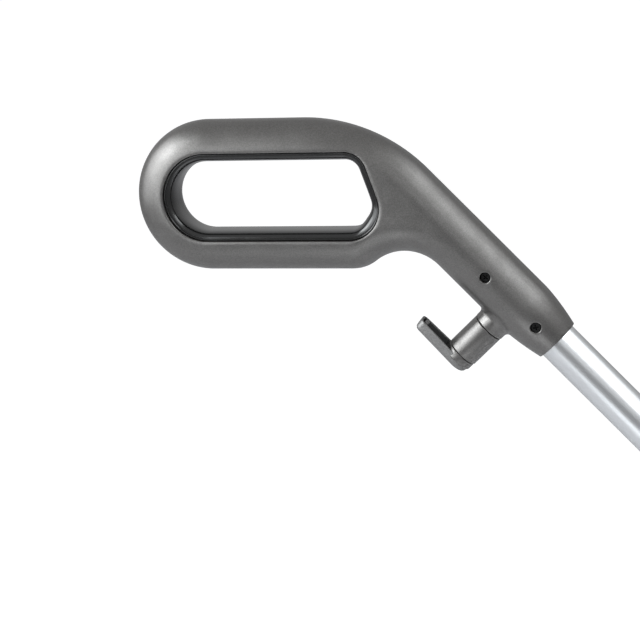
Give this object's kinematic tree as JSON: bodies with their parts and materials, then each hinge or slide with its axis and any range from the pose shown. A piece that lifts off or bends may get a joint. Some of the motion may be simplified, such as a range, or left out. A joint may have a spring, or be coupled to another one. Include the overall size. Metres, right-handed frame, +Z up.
{
  "type": "carpet sweeper",
  "caption": "mains carpet sweeper: low wheeled head with a belt-driven brush and lift-out dirt tray, and a tilting tubular handle with a loop grip and cord hooks",
  "frame": {"origin": "on the floor under the middle of the whole machine's box, in the handle's midplane", "axes": "+X the way the sweeper is pushed, +Y to its left, +Z up"},
  "size_m": [1.0272, 0.346, 0.8384],
  "materials": {
    "shell_grey": "dark metallic grey moulded plastic, satin",
    "liner_black": "near black, glossy",
    "satin_tube": "satin anodised silver",
    "screw_steel": "blackened steel",
    "bright_steel": "bright steel",
    "black_plastic": "fine textured black",
    "smoked_window": "smoked clear plastic",
    "bumper_rubber": "soft matt black",
    "tyre_rubber": "matt black with a fine tread",
    "tray_plastic": "dark grey, satin",
    "bristle": "stiff nylon bristle",
    "belt_rubber": "flat black belt",
    "motor_steel": "zinc plated can",
    "ferrite": "dark ferrite",
    "nylon": "natural white nylon",
    "button_grey": "lighter grey, satin"
  },
  "bodies": {
    "head": {"chassis": "black_plastic", "top_cover": "shell_grey", "pivot_cowl": "shell_grey", "bumper": "bumper_rubber", "brush_bearings": "nylon", "drive_belt": "belt_rubber", "motor_can": "motor_steel", "motor_end_bell": "black_plastic", "motor_magnets": "ferrite", "shaft_bearing": "nylon", "pivot_pins": "bright_steel", "pedal_pin": "bright_steel", "pedal_spring": "bright_steel", "switch_body": "black_plastic", "button_spring": "bright_steel", "cord_gland": "bumper_rubber", "base_screws": "screw_steel", "wheel_axles": "bright_steel", "roller_pins": "bright_steel"},
    "handle": {"handle_shell_right": "shell_grey", "handle_shell_left": "shell_grey", "grip_liner": "liner_black", "handle_screws": "screw_steel", "handle_tube": "satin_tube", "cord_hook_spindle": "screw_steel", "lower_cord_hook": "shell_grey", "lower_hook_screw": "screw_steel", "handle_yoke": "shell_grey", "yoke_bolt": "bright_steel", "pivot_bushes": "nylon", "latch_quadrant": "bright_steel"},
    "cord_hook": {"cord_hook_sleeve": "shell_grey", "cord_hook_arm": "shell_grey", "cord_hook_spring": "bright_steel"},
    "armature": {"motor_rotor": "bright_steel", "motor_pulley": "bright_steel"},
    "brush": {"brush_core": "black_plastic", "brush_tufts": "bristle", "brush_pulley": "nylon"},
    "tray": {"dirt_tray": "tray_plastic", "tray_window": "smoked_window"},
    "right_wheel": {"wheel_hub_right": "tray_plastic", "wheel_tyre_right": "tyre_rubber"},
    "left_wheel": {"wheel_hub_left": "tray_plastic", "wheel_tyre_left": "tyre_rubber"},
    "right_roller": {"front_roller_right": "black_plastic"},
    "left_roller": {"front_roller_left": "black_plastic"},
    "pedal": {"release_pedal": "button_grey"},
    "button": {"power_button": "button_grey"}
  },
  "joints": [
    {"name": "handle_tilt", "type": "hinge", "parent": "head", "child": "handle", "pos_m": [0.3386, 0, 0.07], "axis": [0, 1, 0], "range_deg": [-33, 44]},
    {"name": "cord_hook_turn", "type": "hinge", "parent": "handle", "child": "cord_hook", "pos_m": [-0.30757, 0, 0.73913], "axis": [-0.7193, 0, -0.6947], "range_deg": [0, 180]},
    {"name": "motor_spin", "type": "hinge", "parent": "head", "child": "armature", "pos_m": [0.3086, 0.1, 0.0295], "axis": [0, 1, 0], "continuous": true},
    {"name": "brush_spin", "type": "hinge", "parent": "head", "child": "brush", "pos_m": [0.4676, 0, 0.026], "axis": [0, 1, 0], "continuous": true},
    {"name": "tray_lift", "type": "slide", "parent": "head", "child": "tray", "axis": [0, 0, 1], "range_m": [0, 0.06]},
    {"name": "right_wheel_spin", "type": "hinge", "parent": "head", "child": "right_wheel", "pos_m": [0.2336, -0.1485, 0.032], "axis": [0, 1, 0], "continuous": true},
    {"name": "left_wheel_spin", "type": "hinge", "parent": "head", "child": "left_wheel", "pos_m": [0.2336, 0.1485, 0.032], "axis": [0, 1, 0], "continuous": true},
    {"name": "right_roller_spin", "type": "hinge", "parent": "head", "child": "right_roller", "pos_m": [0.4266, -0.12, 0.01], "axis": [0, 1, 0], "continuous": true},
    {"name": "left_roller_spin", "type": "hinge", "parent": "head", "child": "left_roller", "pos_m": [0.4266, 0.12, 0.01], "axis": [0, 1, 0], "continuous": true},
    {"name": "release_pedal_press", "type": "hinge", "parent": "head", "child": "pedal", "pos_m": [0.2146, -0.06, 0.044], "axis": [0, 1, 0], "range_deg": [0, 5], "stiffness_Nm_per_rad": 2, "springref_deg": -3.44, "deforming": ["pedal_spring"]},
    {"name": "power_button_press", "type": "slide", "parent": "head", "child": "button", "axis": [0, 0, -1], "range_m": [0, 0.004], "stiffness_N_per_m": 800, "springref_m": -0.003, "deforming": ["button_spring"]}
  ],
  "couplings": [
    {"joint": "brush_spin", "follows": "motor_spin", "ratio": 0.5}
  ]
}
